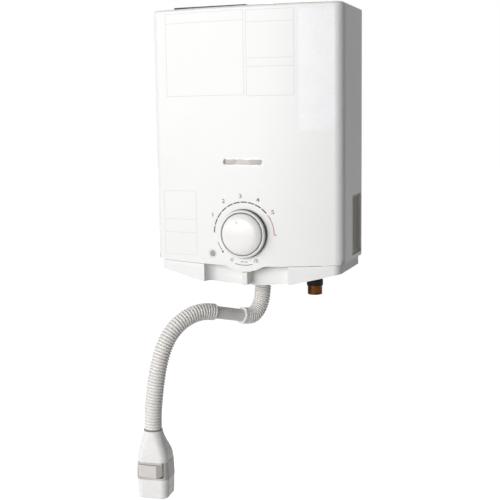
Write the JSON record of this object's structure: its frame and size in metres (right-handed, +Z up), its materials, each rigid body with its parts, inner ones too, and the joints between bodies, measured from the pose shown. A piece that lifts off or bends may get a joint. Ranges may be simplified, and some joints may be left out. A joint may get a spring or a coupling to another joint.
{
  "type": "instantaneous gas water heater",
  "caption": "Wall-hung instantaneous gas water heater: bowed white casing, temperature dial with push button, sight window, capacity lever, battery flap, swivel spout hose and shower head.",
  "frame": {"origin": "centre of the hanging hole in the back plate's top tab, on the wall plane", "axes": "+Z up, -Y towards the front, +X to the right seen from the front; the wall is the plane y = 0"},
  "size_m": [0.27, 0.2104, 0.673],
  "materials": {
    "white_enamel": "white stoved enamel, satin gloss",
    "zinc_sheet": "bright zinc-plated sheet steel",
    "dark_sheet": "dark grey paint, satin",
    "white_plastic": "white moulded ABS, glossy",
    "housing_plastic": "white moulded ABS, satin",
    "grey_plastic": "mid grey moulded plastic, satin",
    "dark_plastic": "black moulded plastic, satin",
    "hose_grey": "light grey ribbed flexible hose",
    "seal_rubber": "black rubber",
    "mica_glass": "tinted mica sight glass",
    "lamp_lens": "grey translucent lens",
    "brass": "turned brass",
    "copper": "drawn copper, soldered",
    "die_cast": "die-cast aluminium",
    "stainless": "stainless steel sheet",
    "spring_steel": "drawn spring wire",
    "ceramic": "glazed ceramic sleeve on a steel pin",
    "cell_jacket": "plain printed steel jacket"
  },
  "bodies": {
    "root": {"back_plate": "zinc_sheet", "battery_bay": "housing_plastic", "battery_cell": "cell_jacket", "burner_bars": "stainless", "burner_frame": "stainless", "cell_contact": "zinc_sheet", "chamber_straps": "zinc_sheet", "cold_pipe": "copper", "combustion_chamber": "copper", "control_unit": "dark_plastic", "cover_screws": "zinc_sheet", "exhaust_guard": "dark_sheet", "exhaust_hood": "stainless", "flame_sensor": "spring_steel", "front_cover": "white_enamel", "gas_inlet": "brass", "gas_manifold": "brass", "gas_pipe": "copper", "gas_valve": "die_cast", "governor_cover": "zinc_sheet", "governor_rod": "brass", "heat_exchanger_fins": "copper", "heat_exchanger_tube": "copper", "hot_pipe": "copper", "housing_screws": "zinc_sheet", "igniter_electrode": "ceramic", "inlet_collar": "dark_plastic", "lower_housing": "housing_plastic", "outlet_seal": "seal_rubber", "outlet_socket": "brass", "overheat_switch": "dark_plastic", "side_grille_left": "grey_plastic", "side_grille_right": "grey_plastic", "status_lamp": "lamp_lens", "valve_bracket": "zinc_sheet", "water_governor": "brass", "water_inlet": "brass", "window_frame": "zinc_sheet", "window_glass": "mica_glass"},
    "dial": {"temperature_ring": "white_plastic", "valve_spindle": "brass"},
    "button": {"push_button": "white_plastic", "button_spring": "spring_steel"},
    "lever": {"capacity_lever": "grey_plastic"},
    "spout": {"outlet_nut": "dark_plastic", "elbow_hose": "hose_grey", "elbow_cuff": "white_plastic", "spout_pipe": "grey_plastic", "shower_hose": "hose_grey", "hose_collar": "dark_plastic"},
    "head": {"head_upper": "white_plastic", "head_band": "grey_plastic", "head_lower": "white_plastic", "spray_plate": "lamp_lens"},
    "rocker": {"rocker_switch": "grey_plastic"},
    "battery_flap": {"battery_door": "housing_plastic", "door_contact": "zinc_sheet"}
  },
  "joints": [
    {"name": "dial_turn", "type": "hinge", "parent": "root", "child": "dial", "pos_m": [0, -0.12, -0.311], "axis": [0, -1, 0], "range_deg": [-108, 72]},
    {"name": "button_press", "type": "slide", "parent": "dial", "child": "button", "axis": [0, 1, 0], "range_m": [0, 0.004], "stiffness_N_per_m": 400, "springref_m": -0.002},
    {"name": "lever_swing", "type": "hinge", "parent": "root", "child": "lever", "pos_m": [0, -0.1, -0.311], "axis": [0, -1, 0], "range_deg": [-16, 16]},
    {"name": "spout_swing", "type": "hinge", "parent": "root", "child": "spout", "pos_m": [0, -0.041, -0.388], "axis": [0, 0, 1], "range_deg": [-35, 105]},
    {"name": "head_swivel", "type": "hinge", "parent": "spout", "child": "head", "pos_m": [-0.10726, -0.19418, -0.5786], "axis": [0, 0, 1], "range_deg": [-60, 60]},
    {"name": "rocker_tilt", "type": "hinge", "parent": "head", "child": "rocker", "pos_m": [-0.10319, -0.20421, -0.6261], "axis": [0, 0, 1], "range_deg": [-10, 0]},
    {"name": "battery_flap_hinge", "type": "hinge", "parent": "root", "child": "battery_flap", "pos_m": [-0.097, -0.0663, -0.37069], "axis": [0.9738, 0, -0.2274], "range_deg": [0, 90]}
  ]
}
